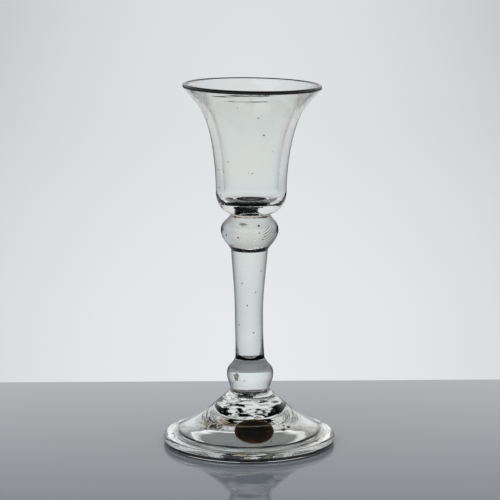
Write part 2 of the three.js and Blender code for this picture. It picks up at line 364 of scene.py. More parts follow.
def make_object(name, points, faces, kinds, materials, circle=None):
    """One object from points and faces, smooth but for its sharp circles.

    Kinds are the faces' materials. Circle is the number of the sharp circle of each point, or -1.
    """
    mesh = bpy.data.meshes.new(name)
    mesh.from_pydata(points.tolist(), [], faces)
    for material in materials:
        mesh.materials.append(material)
    mesh.polygons.foreach_set("material_index", np.array(kinds, dtype=np.int32))
    mesh.polygons.foreach_set("use_smooth", np.ones(len(faces), dtype=bool))
    if circle is not None:
        ends = np.empty(2 * len(mesh.edges), dtype=np.int32)
        mesh.edges.foreach_get("vertices", ends)
        mark = circle[ends.reshape(-1, 2)]
        mesh.edges.foreach_set("use_edge_sharp", (mark[:, 0] == mark[:, 1]) & (mark[:, 0] >= 0))
    mesh.validate()
    mesh.update()
    return placed(name, mesh)


def from_axis(end):
    """Both ends of a fused joint that starts on the axis."""
    return (0, end[1]), end


def on_joint(points, joints):
    """True for section points on a fused joint. Each joint is given by its two ends."""
    found = np.zeros(len(points), dtype=bool)
    for start, end in joints:
        start, along = np.array(start), np.array(end) - np.array(start)
        share = np.clip((points - start) @ along / (along @ along), 0, 1)[:, None]
        found |= np.linalg.norm(points - start - share * along, axis=1) < SAME_POINT
    return found


def turned(name, section, materials, joints=(), finish=PLAIN, bubbles=(), closed=False, shape=None):
    """A section turned about the axis, uneven as free-hand work is. A shape also moves its points.

    A section that isn't closed starts and ends on the axis, and gets a single point at each end. The
    finish is the number of the material of each strip. Faces on a fused joint take the joint's, and the
    circles that bound them are sharp. Bubbles take the last material.
    """
    body = section if closed else section[1:-1]
    rows, steps = len(body), ROUND_STEPS
    bearing = np.linspace(0, 2 * np.pi, steps, endpoint=False)[None, :]
    r, z = (body[:, i:i + 1] + 0 * bearing for i in (0, 1))
    factor = unevenness(bearing, z)
    if shape:
        r, z = shape(r, z, bearing)
    r = r * factor
    points = hand_made(r * np.cos(bearing), r * np.sin(bearing), z).reshape(-1, 3)
    welded = on_joint(section, joints)
    strips = np.where(welded & np.roll(welded, -1), JOINT, finish)
    bounds = welded & ~(np.roll(welded, 1) & np.roll(welded, -1))
    faces = ring_faces(rows, steps, closed)
    if not closed:
        points = np.concatenate([points, hand_made(np.zeros(2), np.zeros(2), section[[0, -1], 1])])
        strips = np.concatenate([strips[1:-2], strips[:1], strips[-2:-1]])
        bounds = bounds[1:-1]
    kinds = np.repeat(strips, steps)
    circle = np.full(len(points), -1)
    for row in np.flatnonzero(bounds):
        circle[row * steps:(row + 1) * steps] = row
    for centre, radii in bubbles:
        where, sides = bubble(centre, radii)
        faces += [[len(points) + i for i in face] for face in sides]
        kinds = np.concatenate([kinds, np.full(len(sides), len(materials) - 1)])
        points = np.concatenate([points, where])
        circle = np.concatenate([circle, np.full(len(where), -1)])
    return make_object(name, points, faces, kinds, materials, circle)


# Materials


def new_material(name):
    """A node material with its tree and its Principled shader."""
    material = bpy.data.materials.new(name)
    material.use_nodes = True
    return material, material.node_tree, material.node_tree.nodes["Principled BSDF"]


def feed(tree, socket, value):
    """Sets an input to a value, or links an output to it."""
    if isinstance(value, bpy.types.NodeSocket):
        tree.links.new(value, socket)
    else:
        socket.default_value = value


def set_inputs(tree, node, **inputs):
    """Feeds a node's inputs, given by name with underscores for spaces, with values or outputs."""
    for name, value in inputs.items():
        feed(tree, node.inputs[name.replace("_", " ")], value)


def add(tree, kind, **settings):
    """A node of a kind. Each setting is an attribute, or else an input as in set_inputs."""
    made = tree.nodes.new("ShaderNode" + kind)
    for key, value in settings.items():
        if hasattr(made, key):
            setattr(made, key, value)
        else:
            set_inputs(tree, made, **{key: value})
    return made


def calc(tree, operation, *values):
    """Result of a Math node on values or outputs."""
    made = add(tree, "Math", operation=operation)
    for socket, value in zip(made.inputs, values):
        feed(tree, socket, value)
    return made.outputs["Value"]


def product(tree, *values):
    """Two values multiplied."""
    return calc(tree, "MULTIPLY", *values)


def ranged(tree, value, start, end, low=0.0, high=1.0, kind="LINEAR"):
    """A value brought from start and end to low and high, and held there outside them."""
    made = add(tree, "MapRange", interpolation_type=kind, Value=value)
    set_inputs(tree, made, From_Min=start, From_Max=end, To_Min=low, To_Max=high)
    return made.outputs["Result"]


def stepped(tree, value, start, end, low=0.0, high=1.0):
    """As ranged, along a smooth step."""
    return ranged(tree, value, start, end, low, high, "SMOOTHSTEP")


def opaque(shade):
    """A grey or a colour with full alpha. An output stays as it is."""
    if isinstance(shade, bpy.types.NodeSocket):
        return shade
    return (*shade, 1) if isinstance(shade, tuple) else (shade, shade, shade, 1)


def mixed(tree, share, first, second, blend="MIX"):
    """Two colours mixed by the share of the second."""
    made = add(tree, "Mix", data_type="RGBA", blend_type=blend)
    set_inputs(tree, made, Factor=share, A=opaque(first), B=opaque(second))
    return made.outputs["Result"]


def times(tree, first, second):
    """Two colours multiplied."""
    return mixed(tree, 1.0, first, second, "MULTIPLY")


def ramped(tree, value, stops, kind="LINEAR"):
    """Colour by value: stops are pairs of value, from 0 to 1, and grey or colour."""
    made = add(tree, "ValToRGB", Fac=value)
    made.color_ramp.interpolation = kind
    elements = made.color_ramp.elements
    while len(elements) < len(stops):
        elements.new(0.5)
    for element, (position, shade) in zip(elements, stops):
        element.position = position
        element.color = opaque(shade)
    return made.outputs["Color"]


def here(tree):
    """Place on the piece, in its own coordinates."""
    return add(tree, "TexCoord").outputs["Object"]


def split(tree, vector):
    """The three parts of a vector."""
    return add(tree, "SeparateXYZ", Vector=vector).outputs


def mapped(tree, place, **settings):
    """A place moved and scaled by a Mapping node."""
    return add(tree, "Mapping", Vector=place, **settings).outputs["Vector"]


def noise(tree, place, scale, detail, **more):
    """Noise about a half, at a place: its scale, and its detail in finer layers."""
    return add(tree, "TexNoise", Vector=place, Scale=scale, Detail=detail, **more).outputs["Fac"]


def bumped(tree, height, distance, **more):
    """Normal of a skin raised by a height from 0 to 1 times the distance."""
    return add(tree, "Bump", Height=height, Distance=distance, **more).outputs["Normal"]


def length(tree, vector):
    """Length of a vector."""
    made = add(tree, "VectorMath", operation="LENGTH")
    feed(tree, made.inputs[0], vector)
    return made.outputs["Value"]


def in_metres(sizes):
    """A place or sizes in metres, from millimetres."""
    return [size * MM for size in sizes]


def node_group(name, inputs, outputs):
    """An empty node group with named sockets: its tree, what is put in and what comes out."""
    tree = bpy.data.node_groups.new(name, "ShaderNodeTree")
    for direction, sockets in (("INPUT", inputs), ("OUTPUT", outputs)):
        for socket, kind in sockets.items():
            tree.interface.new_socket(socket, in_out=direction, socket_type="NodeSocket" + kind)
    return tree, tree.nodes.new("NodeGroupInput").outputs, tree.nodes.new("NodeGroupOutput").inputs


def drawn_glass_group():
    """Drawn glass: a normal with faint cords round the axis over a slow swell, and a wash of two hues."""
    tree, given, out = node_group(
        "drawn glass",
        {"Cord Scale": "Float", "Cord Depth": "Float", "Swell Depth": "Float"},
        {"Normal": "Vector", "Wash": "Color"},
    )
    place = here(tree)
    drawn_out = mapped(tree, place, Scale=(0.25, 0.25, 1.0))
    cords = noise(tree, drawn_out, given["Cord Scale"], 2.0, Roughness=0.5, Distortion=0.4)
    swell = bumped(tree, noise(tree, place, 70.0, 1.0), given["Swell Depth"])
    feed(tree, out["Normal"], bumped(tree, cords, given["Cord Depth"], Normal=swell))
    hues = ((0.38, (0.955, 0.985, 0.995)), (0.62, (1.0, 0.99, 0.97)))
    feed(tree, out["Wash"], ramped(tree, noise(tree, place, 45.0, 3.0), hues))
    return tree


def torn_patch_group():
    """Mask of a torn patch about a centre, as wide each way as its reach.

    With t the distance from the centre as a share of the reach, plus the tear times noise about 0, it is 1
    where t is under the core and falls along a smooth step to 0 near 1.
    """
    tree, given, out = node_group(
        "torn patch",
        {"Centre": "Vector", "Reach": "Vector", "Scale": "Float", "Tear": "Float", "Core": "Float"},
        {"Mask": "Float"},
    )
    place = here(tree)
    local = mapped(tree, place, vector_type="TEXTURE", Location=given["Centre"], Scale=given["Reach"])
    ragged = calc(tree, "SUBTRACT", noise(tree, place, given["Scale"], 4.0, Roughness=0.65), 0.5)
    torn = calc(tree, "MULTIPLY_ADD", ragged, given["Tear"], length(tree, local))
    feed(tree, out["Mask"], stepped(tree, torn, 0.95, given["Core"]))
    return tree


DRAWN_GLASS = drawn_glass_group()
TORN_PATCH = torn_patch_group()


def torn_patch(tree, centre, reach, scale, tear, core=0.35):
    """The torn patch in a material, its centre and reach in millimetres."""
    patch = add(tree, "Group", node_tree=TORN_PATCH, Scale=scale, Tear=tear, Core=core)
    set_inputs(tree, patch, Centre=in_metres(centre), Reach=in_metres(reach))
    return patch.outputs["Mask"]


def dirt_and_shade_patch(tree, colour, centre, reach, shade, scale, tear=2.4):
    """A torn patch of another shade on a colour: dirt in some places, painted shade or a painted reflection
    in others.
    """
    return mixed(tree, torn_patch(tree, centre, reach, scale, tear), colour, shade)


def swirl(tree, colour, centre, middle, reach, spacing):
    """Dark cords on a colour: thin rings about a centre, seen within reach of a middle, in millimetres."""
    place = here(tree)
    about = mapped(tree, place, vector_type="TEXTURE", Location=in_metres(centre), Scale=[MM] * 3)
    rings = add(tree, "TexWave", wave_type="RINGS", rings_direction="SPHERICAL", Vector=about)
    set_inputs(tree, rings, Scale=2 * np.pi / 20 / spacing, Distortion=2.5, Detail=2.0, Detail_Scale=0.6)
    local = mapped(tree, place, vector_type="TEXTURE", Location=in_metres(middle), Scale=[reach * MM] * 3)
    thin = stepped(tree, rings.outputs["Fac"], 0.30, 0.08)
    within = stepped(tree, length(tree, local), 1.0, 0.5)
    return mixed(tree, product(tree, thin, within), colour, SWIRL_TINT)


def glass_body(name, kept):
    """Glass without its colour, and where it is met from inside, and where light is trapped.

    Light that its skin reflects back whole, inside and past the critical angle, keeps only a share of its
    strength, a painted shade. The share is the tint of a coat without gloss of its own, so that thick
    sections draw their dark lines under any light.
    """
    material, tree, shader = new_material(name)
    set_inputs(tree, shader, Transmission_Weight=1.0, Roughness=0.0, IOR=GLASS_INDEX)
    # Coat tint: painted shade where light is trapped inside the glass
    set_inputs(tree, shader, Coat_IOR=1.0, Coat_Roughness=0.0, Coat_Tint=opaque(kept))
    inside = add(tree, "NewGeometry").outputs["Backfacing"]
    mirror = add(tree, "Fresnel", IOR=GLASS_INDEX).outputs["Fac"]
    trapped = product(tree, calc(tree, "GREATER_THAN", mirror, WHOLE), inside)
    return material, tree, shader, inside, trapped


def clear_glass(name, tint, fade, kept, ripple=STRONG_RIPPLE, dirt_and_shade_patches=(), swirls=(), dark=None, above=None,
                inner_tint=None, eased=None):
    """Fire-polished glass: its tint over two crossings, faint cords and hues, and any dirt and painted shade
    on it.

    The fade says how much of the tint is left, from where the skin is met square on, 0, to edge on, 1: a
    painted shade that darkens the glass towards its edges.
    The ripple is the depth of the cords and of the swell. Dark is a torn patch, and outside it the skin keeps
    all the light that it reflects back whole. Above is a torn patch of painted shade, that keeps as little of
    what is seen from outside at a low angle. An inner tint is the tint where the skin is met from inside.
    Eased is two levels and three shares, of the turning away, the loss at a reflection and the body of a skin
    seen edge on, that are left above the upper level, so that it lessens the painted edge shade.
    """
    material, tree, shader, inside, weight = glass_body(name, kept)
    slant = add(tree, "LayerWeight", Blend=0.5).outputs["Facing"]
    away = slant
    if dark:
        weight = product(tree, weight, torn_patch(tree, *dark))
    if above:
        seen = product(tree, calc(tree, "SUBTRACT", 1.0, inside), torn_patch(tree, *above))
        weight = calc(tree, "MAXIMUM", weight, product(tree, seen, stepped(tree, slant, *LOW_ANGLE)))
    if eased:
        low, high, turning, loss, body = eased
        level = split(tree, here(tree))["Z"]
        away = product(tree, slant, stepped(tree, level, low, high, 1.0, turning))
        weight = product(tree, weight, stepped(tree, level, low, high, 1.0, loss))
        edge_on = stepped(tree, slant, *EDGE_ON)
        gone = product(tree, edge_on, stepped(tree, level, low, high, 0.0, 1 - body))
        set_inputs(tree, shader, Alpha=calc(tree, "SUBTRACT", 1.0, gone))
    skin = add(tree, "Group", node_tree=DRAWN_GLASS, Cord_Scale=CORD_SCALE)
    set_inputs(tree, skin, Cord_Depth=ripple[0], Swell_Depth=ripple[1])
    # Painted edge shade: the tint darkens as the skin turns edge on
    stops = [(slope, tuple(channel * left for channel in tint)) for slope, left in fade]
    colour = times(tree, ramped(tree, away, stops), skin.outputs["Wash"])
    for settings in dirt_and_shade_patches:
        colour = dirt_and_shade_patch(tree, colour, *settings)
    for settings in swirls:
        colour = swirl(tree, colour, *settings)
    if inner_tint:
        colour = mixed(tree, inside, colour, inner_tint)
    set_inputs(tree, shader, Base_Color=colour, Normal=skin.outputs["Normal"], Coat_Weight=weight)
    return material


def fused_joint():
    """Inside of a fused joint, where glass runs on into glass and nothing shows."""
    material, tree, shader = new_material("fused joint")
    set_inputs(tree, shader, Alpha=0.0)
    return material


def broken_glass():
    """Torn glass of the scar: clear chips with a little frost, with painted shade in patches and at its two
    sides.
    """
    material, tree, shader, _, trapped = glass_body("broken glass", 0.03)
    place = here(tree)
    chips = add(tree, "TexVoronoi", Vector=place, Scale=420.0).outputs["Distance"]
    # Painted shade: the scar darker towards its left and right
    across = calc(tree, "ABSOLUTE", split(tree, place)["X"])
    sides = ranged(tree, across, 0.35 * SCAR_RADIUS, 0.8 * SCAR_RADIUS, 0.0, 0.22)
    cloud = calc(tree, "ADD", noise(tree, place, 240.0, 3.0), sides)
    set_inputs(
        tree, shader,
        Base_Color=opaque((0.93, 0.94, 0.93)),
        Roughness=ranged(tree, chips, 0.0, 1.0, 0.0, 0.10),
        Normal=bumped(tree, chips, 0.2 * MM),
        Coat_Weight=product(tree, trapped, stepped(tree, cloud, 0.52, 0.60)),
    )
    return material


def label_paper():
    """Nearly black brown coated paper with dull gold mottling, more of it at the edge, and a painted
    highlight along a crease.

    The place attribute gives the two coordinates on the oval, and the distance from its middle to its edge,
    all 0 in the middle and 1 at the edge.
    """
    material, tree, shader = new_material("label paper")
    oval = add(tree, "Attribute", attribute_name="place").outputs["Vector"]
    _, up, outward = split(tree, oval)
    blotch = noise(tree, mapped(tree, oval, Scale=(1.3, 4.5, 0.0)), 1.6, 6.0, Roughness=0.62)
    grain = noise(tree, here(tree), 2600.0, 2.0)
    gold = calc(tree, "ADD", blotch, ranged(tree, outward, 0.55, 1.0, -0.03, 0.14))
    # Painted highlight along the crease
    bent = calc(tree, "MULTIPLY_ADD", blotch, CREASE_BEND, up)
    off = calc(tree, "SUBTRACT", bent, CREASE_AT + CREASE_BEND / 2)
    crease = stepped(tree, calc(tree, "ABSOLUTE", off), CREASE_HIGHLIGHT_WIDTH, 0.0)
    highlighted = mixed(tree, product(tree, crease, blotch), ramped(tree, gold, LABEL_SHADES), CREASE_HIGHLIGHT_SHADE)
    set_inputs(
        tree, shader,
        Base_Color=highlighted,
        Roughness=ranged(tree, grain, 0.0, 1.0, 0.3, 0.55),
        Normal=bumped(tree, grain, 0.04 * MM),
        Specular_IOR_Level=0.25,
    )
    return material


def label_back():
    """Back of the label, seen through the glass: pale paper, browned by its gum."""
    material, tree, shader = new_material("label back")
    blotch = noise(tree, here(tree), 300.0, 3.0)
    paper = mixed(tree, blotch, (0.48, 0.40, 0.28), (0.80, 0.74, 0.62))
    set_inputs(tree, shader, Base_Color=paper, Roughness=0.8)
    return material


# A dirt and shade patch is a centre and a reach in millimetres, a shade, the fineness of its torn edge, and
# its tear; some are dirt, others painted shade or a painted reflection
bowl_glass = clear_glass(
    "bowl glass", THIN_TINT, BELL_FADE, 0.92, FAINT_RIPPLE,
    dirt_and_shade_patches=[
        # Painted dark lines below the rim, for the shade of cords in the wall
        ((-0.2, -22.8, RIM_AT - 1.75), (15, 9, 0.50), PAINTED_LINE_SHADE, 120.0, 1.2),
        ((-10.2, -22.0, RIM_AT - 2.3), (6.5, 9, 0.34), PAINTED_LINE_SHADE, 160.0, 1.4),
        ((1.6, -21.4, RIM_AT - 4.05), (13, 9, 0.34), PAINTED_LINE_SHADE, 140.0, 1.6),
    ],
    eased=FLARE_EASE,
)
# The rim's bead: painted dark shade from outside, the glass's own tint from inside
lip_glass = clear_glass("lip glass", PAINTED_LINE_SHADE, EVEN, 0.97, inner_tint=THIN_TINT)
inner_glass = clear_glass("inner wall glass", THIN_TINT, WALL_FADE, 0.86, FAINT_RIPPLE, eased=FLARE_EASE)
# The bowl's corner and floor are painted dark, seen from inside or from above, with a paler ring left in the
# floor
corner_glass = clear_glass(
    "corner glass", THIN_TINT, EVEN, 0.02,
    dark=((-0.2, 0, FLOOR_AT), (6.8, 60, 60), 200.0, 0.4, 0.85),
    above=((0, -1.5, FLOOR_AT), (9.6, 9.4, 30), 240.0, 1.8, 0.7),
)
base_glass = clear_glass("base glass", THIN_TINT, BASE_FADE, 0.99)
seen_floor = ((0, -1.5, FLOOR_AT), (9.6, 8.4, 30), 240.0, 1.8, 0.7)
dark_floor = ((-0.3, 0, FLOOR_AT), (3.5, 6.0, 30), 500.0, 0.4, 0.85)
floor_glass = clear_glass("floor glass", THIN_TINT, FLOOR_FADE, 0.02, dark=dark_floor, above=seen_floor)
arch_glass = clear_glass("floor ring glass", THIN_TINT, FLOOR_FADE, 0.75, above=seen_floor)
# Bubbles painted dark, for the shade that their skins give
seed_glass = clear_glass("seed", SEED_TINT, EVEN, 0.05)
upper_glass = clear_glass(
    "upper knop glass", KNOP_TINT, KNOP_FADE, 0.04,
    dirt_and_shade_patches=[
        ((0, 0, BOWL_AT - 0.2), (60, 60, 0.50), (0.58, 0.48, 0.38), 300.0, 2.6),
        ((0, 0, BOWL_AT - 0.6), (60, 60, 0.24), (0.03, 0.02, 0.012), 700.0, 2.6),
        # Painted shade along the knop's shoulder, on its left and on its right
        ((-5.4, -5.0, BOWL_AT - 0.6), (2.0, 3.0, 0.45), (0.015, 0.009, 0.005), 900.0, 2.6),
        ((5.6, -4.8, BOWL_AT - 0.6), (2.4, 3.0, 0.6), (0.01, 0.008, 0.006), 900.0, 2.8),
        # Painted black band at the joint under the knop
        (WAIST, (60, 60, 0.55), PAINTED_LINE_SHADE, 60.0, 0.8),
        ((-2.2, -8.9, BOWL_AT - 2.7), (2.8, 2.5, 0.9), (0.05, 0.045, 0.03), 500.0),
        # Painted bluish shade on the knop's left side
        ((-7.5, -7.0, BOWL_AT - 8.5), (6.0, 5.0, 6.0), (0.50, 0.57, 0.62), 180.0),
    ],
    swirls=[((1.75, -7.0, BOWL_AT), (7.4, -7.4, BOWL_AT - 6.2), 4.0, 0.85)],
)
stem_glass = clear_glass(
    "stem glass", STEM_TINT, SOLID_FADE, 0.04,
    # Painted black band at the joint with the knop
    dirt_and_shade_patches=[(WAIST, (60, 60, 0.3), PAINTED_LINE_SHADE, 60.0, 0.8)],
)
lower_glass = clear_glass(
    "lower knop glass", LOW_KNOP_TINT, SOLID_FADE, 0.04,
    dirt_and_shade_patches=[
        (KNEE_GROOVE, (60, 60, 0.5), GRIME, 700.0),
        ((-4.6, -7.2, KNEE_AT + 6.4), (1.3, 3.0, 2.2), (0.07, 0.055, 0.04), 900.0, 3.8),
    ],
)
foot_glass = clear_glass(
    "foot glass", FOOT_TINT, SHEET_FADE, 0.97, SHEET_RIPPLE,
    dirt_and_shade_patches=[
        ((-7.4, -14.8, 11.0), (7.0, 6.0, 3.4), (0.22, 0.16, 0.08), 260.0, 1.6),
        ((-15.8, -10.4, 9.9), (7.0, 5.0, 2.2), (0.27, 0.24, 0.16), 500.0, 3.0),
        (KNEE_GROOVE, (60, 60, 0.7), GRIME, 500.0),
        # Painted shade: dark patches just below the knee
        ((-2.6, -7.9, KNEE_AT - 0.9), (7.0, 4.0, 1.3), NEAR_BLACK, 500.0, 3.0),
        ((-12.4, -14.6, 9.4), (4.4, 3.2, 1.7), NEAR_BLACK, 800.0, 4.2),
        ((12.2, -16.0, 8.6), (1.8, 1.6, 0.9), (0.01, 0.01, 0.01), 900.0, 3.4),
        # Painted reflection of the label on the fold
        ((-2.4, -31.3, 3.2), (5.0, 2.5, 2.4), (0.46, 0.38, 0.25), 300.0),
    ],
)
# Foot's undercut edge: a painted dark line from outside, the foot's tint from inside
line_glass = clear_glass("edge line glass", PAINTED_LINE_SHADE, EVEN, 0.9, inner_tint=FOOT_TINT)
fold_glass = clear_glass("fold glass", FOLD_TINT, SHEET_FADE, 0.99, SHEET_RIPPLE)
# Painted shade in the fold's crevice: a dark line at its mouth, a grey band within
mouth_glass = clear_glass("crevice mouth", PAINTED_MOUTH_SHADE, EVEN, 0.3)
crevice_glass = clear_glass("crevice glass", PAINTED_CREVICE_SHADE, EVEN, 0.85)
fused = fused_joint()


# Pieces of glass


def bowl_section():
    """Outer bell, rounded lip, inner wall set off square to the bell, and the floor with its hump.

    The wall goes from the well's to the lip's with the share of the height to the power of the taper.
    The hump is a bell curve of the radius.
    """
    lip = LIP_THICKNESS / 2
    lip_centre = np.array([RIM_RADIUS - lip, RIM_LEVEL - lip])
    bell_end = lip_centre + heading(RIM_ANGLE - 90) * lip
    well = np.array([WELL_RADIUS, BOWL_FOOT + WELL_HEIGHT])
    flare = np.array([FLARE_RADIUS, BOWL_FOOT + FLARE_HEIGHT])
    base = stretch(BOWL_END, BASE_ANGLE, well, 90, pulls=(0.46, 0.28), count=28)
    lower = stretch(well, 90, flare, FLARE_ANGLE, pulls=(0.34, 0.25), count=36)
    upper = stretch(flare, FLARE_ANGLE, bell_end, RIM_ANGLE, pulls=(0.6, 0.36), count=56)
    bell = joined(lower, upper)
    along = np.gradient(bell, axis=0)
    along /= np.linalg.norm(along, axis=1)[:, None]
    inward = np.stack([-along[:, 1], along[:, 0]], axis=1)
    rise = (bell[:, 1] - bell[0, 1]) / (bell[-1, 1] - bell[0, 1])
    wall = WELL_WALL + (LIP_THICKNESS - WELL_WALL) * rise**WALL_TAPER
    inner = (bell + inward * wall[:, None])[::-1]
    floor = BOWL_FOOT + FLOOR_THICKNESS
    floor_edge = (inner[-1, 0] - FLOOR_CORNER, floor)
    corner = stretch(inner[-1], -90, floor_edge, 180, pulls=(0.4, 0.4), count=20)
    flat = np.linspace(floor_edge, (0, floor), 14)
    bead = arc(lip_centre, (lip, lip), RIM_ANGLE - 90, RIM_ANGLE + 90, 16)
    points, finish = lined(
        ((0, BOWL_FOOT), PLAIN), (base, PLAIN), (bell, PLAIN), (bead, LINE), (inner, INNER),
        (corner, PLAIN), (flat, PLAIN),
    )
    r, over = points[:, 0], points[:, 1] - floor
    low = (over > CORNER_RISE[0]) & (over < CORNER_RISE[1]) & (finish != INNER)
    finish[low & (r > CORNER_RING[0]) & (r < CORNER_RING[1])] = CORNER
    middle = (r < FLOOR_RING) & (over > -FLOOR_DROP)
    finish[middle] = FLOOR
    finish[middle & (r > ARCH_RING[0]) & (r < ARCH_RING[1])] = ARCH
    finish[(points[:, 1] < BOWL_FOOT + BASE_RISE) & (finish == PLAIN)] = BASE
    hump = FLOOR_HUMP * np.exp(-((r / HUMP_REACH) ** 2))
    points[:, 1] += np.where(middle, hump, 0)
    return points, finish


def foot_sections():
    """Sections of the foot's sheet and its fold, the fused line between them, and the sheet's upper curve."""
    roll = SEAM_OUTER
    roll_centre = np.array([FOOT_RADIUS - roll, roll])
    widest = np.array([FOOT_RADIUS, roll])
    cone_end = roll_centre + heading(90 - CONE_EDGE_ANGLE) * roll
    cone = stretch(FOOT_END, -CONE_TOP_ANGLE, cone_end, -CONE_EDGE_ANGLE, pulls=(0.6, 0.14), count=90)
    reach = FOOT_RADIUS - FOLD_WIDTH
    drop = SHEET_THICKNESS / np.cos(np.radians(CONE_EDGE_ANGLE))
    seam_end = np.array([reach, np.interp(reach, cone[:, 0], cone[:, 1]) - drop])

    def seam_at(radius):
        share = (radius - reach) / FOLD_WIDTH
        return np.array([radius, seam_end[1] + share * (widest[1] - seam_end[1])])

    seam_angle = np.degrees(np.arctan2(seam_end[1] - widest[1], FOLD_WIDTH))
    pulls = (0.35, PAD_EASE / (reach - PAD_RADIUS))
    under = stretch(seam_end, 180 - seam_angle, (PAD_RADIUS, PAD_LEVEL), 180, pulls, count=60)
    fused_point = seam_at(reach + CREVICE_DEPTH)
    gap = np.linspace(seam_end, fused_point, 6)
    edge = arc(roll_centre, (roll, roll), 0, 90 - CONE_EDGE_ANGLE, 14)
    inner_joint = np.linspace(fused_point, widest, 8)
    sheet = lined(
        ((0, PAD_LEVEL), PLAIN), (SCAR_END, PLAIN), (under[::-1], PLAIN),
        (gap[:3], MOUTH), (gap[2:], CREVICE), (inner_joint, PLAIN),
        (edge, PLAIN), (cone[::-1], PLAIN), ((0, KNEE), PLAIN),
    )
    wear_outer = FOOT_RADIUS - EDGE_UNDERCUT
    lip = FOLD_THICKNESS / 2
    lip_middle = seam_at(reach + lip) - np.array([0, CREVICE_GAP + lip])
    wear_ring = np.linspace((wear_outer - WEAR_RING_WIDTH, 0), (wear_outer, 0), 4)
    undercut = arc((wear_outer, roll), (EDGE_UNDERCUT, roll), -90, 0, 19)
    inner_lip = arc(lip_middle, (lip, lip), 90 - seam_angle, 270 + seam_angle, 16)
    fold = lined(
        (wear_ring, PLAIN), (undercut[:9], LINE), (undercut[8:11], PLAIN), (undercut[10:], LINE),
        (inner_joint[::-1], PLAIN), (inner_lip, PLAIN),
    )
    return sheet, fold, (widest, fused_point), cone


def seeds(outline, foot, places, depth=0.7):
    """Small bubbles at a depth in millimetres under the front of a turned outline.

    Each place gives, in millimetres, the offset from the axis, the height above the foot, and the half
    width and half height of the bubble.
    """
    found = []
    front = np.concatenate([outline[:1], outline[1:-1][outline[1:-1, 0] > 0]])
    order = np.argsort(front[:, 1], kind="stable")
    for x, up, wide, high in places:
        z = foot + up * MM
        radius = np.interp(z, front[order, 1], front[order, 0]) - depth * MM
        y = -np.sqrt(radius**2 - (x * MM) ** 2)
        found.append((hand_made(x * MM, y, np.float64(z)), in_metres((wide, wide, high))))
    return found


def solid(name, glass, bottom, middle, top, angles, pulls, places):
    """Solid piece with seeds between two fused joints, bulging or waisted at a level between them."""
    lower = stretch(bottom, angles[0], middle, 90, pulls[:2], count=40)
    upper = stretch(middle, 90, top, angles[1], pulls[2:], count=40)
    outline = joined((0, bottom[1]), lower, upper, (0, top[1]))
    joints = [from_axis(bottom), from_axis(top)]
    bubbles = seeds(outline, bottom[1], places)
    return turned(name, outline, [glass, fused, seed_glass], joints, bubbles=bubbles)


bell, bell_finish = bowl_section()
bowl = turned(
    "bell_bowl",
    bell,
    [bowl_glass, fused, lip_glass, inner_glass, corner_glass, floor_glass, base_glass, arch_glass,
     seed_glass],
    joints=[from_axis(BOWL_END)],
    finish=bell_finish,
    bubbles=seeds(bell[: np.argmax(bell[:, 0])], BOWL_FOOT, [
        (4.2, 30.8, 0.45, 0.22), (2.1, 37.3, 0.3, 0.2), (0.4, 16.6, 0.25, 0.2), (-1.1, 16.8, 0.22, 0.18),
        (-8.3, 20.5, 0.3, 0.22), (-9.9, 16.5, 0.25, 0.2), (-11.6, 16.8, 0.25, 0.3), (-11.3, 10.4, 0.25, 0.3),
        (-10.7, 7.8, 0.3, 0.25), (7.5, 24.6, 0.25, 0.18), (-5.2, 41.2, 0.22, 0.2),
    ]),
)
upper_knop = solid(
    "upper_stem_knop", upper_glass,
    STEM_HEAD_END, (UPPER_KNOP_RADIUS, STEM_HEAD + UPPER_KNOP_BELLY), BOWL_END,
    angles=(57, 121),
    pulls=(0.35, 0.34, 0.44, 0.48),
    places=[
        (3.2, 10.0, 0.4, 0.4), (-4.1, 5.9, 0.32, 0.32), (-8.2, 6.3, 0.3, 0.4), (4.7, 5.2, 0.25, 0.25),
        (5.4, 6.4, 0.2, 0.2), (3.4, 7.6, 0.2, 0.25),
    ],
)
stem = solid(
    "plain_stem", stem_glass,
    STEM_FOOT_END, (STEM_WAIST_RADIUS, STEM_FOOT + STEM_WAIST_HEIGHT), STEM_HEAD_END,
    angles=(94, 86),
    pulls=(0.32, 0.32, 0.33, 0.34),
    places=[
        (-2.5, 29.0, 0.2, 0.35), (4.1, 33.5, 0.2, 0.3), (2.35, 25.6, 0.2, 0.3), (-0.6, 20.7, 0.18, 0.35),
        (-3.4, 13.1, 0.2, 0.35), (1.6, 10.4, 0.2, 0.3), (-3.5, 1.3, 0.2, 0.3),
    ],
)
lower_knop = solid(
    "lower_stem_knop", lower_glass,
    FOOT_END, (LOWER_KNOP_RADIUS, KNEE + LOWER_KNOP_BELLY), STEM_FOOT_END,
    angles=(85, 115),
    pulls=(0.36, 0.32, 0.52, 0.52),
    places=[(-5.1, 5.6, 0.25, 0.25), (-6.1, 3.3, 0.25, 0.3), (-2.1, 4.9, 0.2, 0.2), (6.9, 1.8, 0.3, 0.35)],
)

(sheet, sheet_finish), (edge, edge_finish), fold_joint, cone_curve = foot_sections()


def foot_work(r, z, bearing):
    """The sheet's shape: slow spiral ridges in its hollow, between the scar and the fold.

    The ridges are a sine of the radius and bearing, over a swell that is a product of two waves, under a
    window that is a half sine of the way between, and 0 at both ends.
    """
    inside = z < np.interp(r, cone_curve[:, 0], cone_curve[:, 1]) - HOLLOW_DROP
    share = np.clip((r - RIDGES_FROM) / (FOOT_RADIUS - FOLD_WIDTH - RIDGES_FROM), 0, 1)
    window = np.where(inside, np.sin(np.pi * share) ** 0.7, 0)
    ridges = np.sin(2 * np.pi * r / RIDGE_PITCH + bearing + 0.8 * np.sin(2 * bearing))
    swell = np.sin(3 * bearing + 300 * r) * np.cos(2 * bearing - 170 * r)
    return r, z + window * (RIDGE_HEIGHT * ridges + SWELL_HEIGHT * swell)


